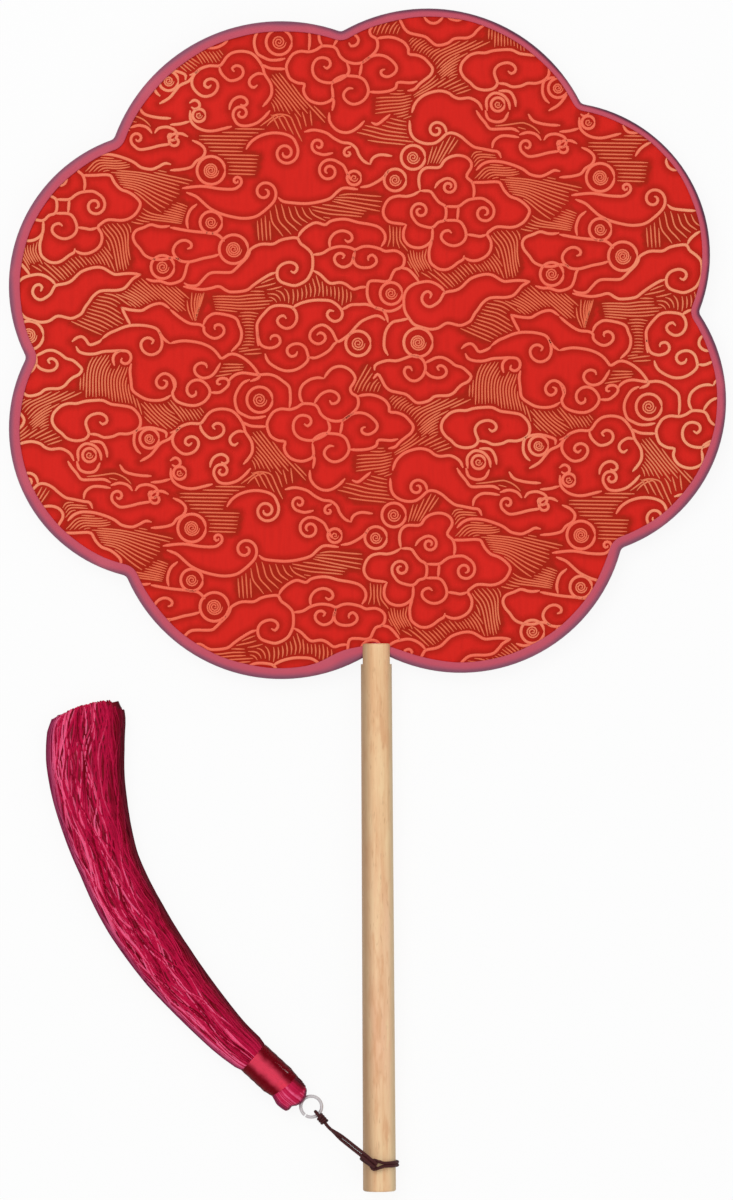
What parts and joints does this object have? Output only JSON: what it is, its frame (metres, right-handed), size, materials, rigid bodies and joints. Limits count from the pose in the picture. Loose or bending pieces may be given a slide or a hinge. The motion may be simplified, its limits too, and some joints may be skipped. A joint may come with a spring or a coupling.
{
  "type": "hand fan",
  "caption": "Rigid round hand fan: lobed brocade blade on a bent wire rim, ribbon-bound edge, slotted wooden stick handle, and a tassel hanging from a cord and ring near the butt.",
  "frame": {"origin": "centre of the flat end of the handle's butt", "axes": "+Y along the handle from the butt to the blade, +X right and +Z towards a viewer who looks at the front, so the fan lies flat on its back"},
  "size_m": [0.2438, 0.4019, 0.0165],
  "materials": {
    "beech_wood": "smooth, unvarnished",
    "rim_steel": "plain drawn wire",
    "core_board": "matt",
    "red_brocade": "satin weave with metallic figure threads",
    "binding_ribbon": "satin ribbon",
    "dark_cord": "twisted cord",
    "ring_silver": "polished",
    "tassel_yarn": "rayon yarn",
    "wrap_thread": "glossy thread"
  },
  "bodies": {
    "fan": {"handle": "beech_wood", "rim_wire": "rim_steel", "core_board": "core_board", "front_brocade": "red_brocade", "back_brocade": "red_brocade", "edge_binding": "binding_ribbon"},
    "hitch": {"handle_hitch": "dark_cord"},
    "cord": {"hanging_cord": "dark_cord", "cord_knot": "dark_cord"},
    "ring": {"split_ring": "ring_silver"},
    "tassel": {"tassel_yarn": "tassel_yarn", "neck_wrap": "wrap_thread"}
  },
  "joints": [
    {"name": "hitch_turn", "type": "hinge", "parent": "fan", "child": "hitch", "pos_m": [0, 0.0094, 0], "axis": [0, 1, 0], "range_deg": [-180, 180]},
    {"name": "cord_swing", "type": "hinge", "parent": "hitch", "child": "cord", "pos_m": [-0.0015, 0.0094, 0.0091], "axis": [0, 0, 1], "range_deg": [-4, 130]},
    {"name": "ring_turn", "type": "hinge", "parent": "cord", "child": "ring", "pos_m": [-0.02305, 0.02877, -0.0016], "axis": [0, 0, 1], "range_deg": [-3, 45]},
    {"name": "tassel_swing", "type": "hinge", "parent": "ring", "child": "tassel", "pos_m": [-0.02305, 0.02877, -0.0016], "axis": [0, 0, 1], "range_deg": [-3, 45]}
  ]
}
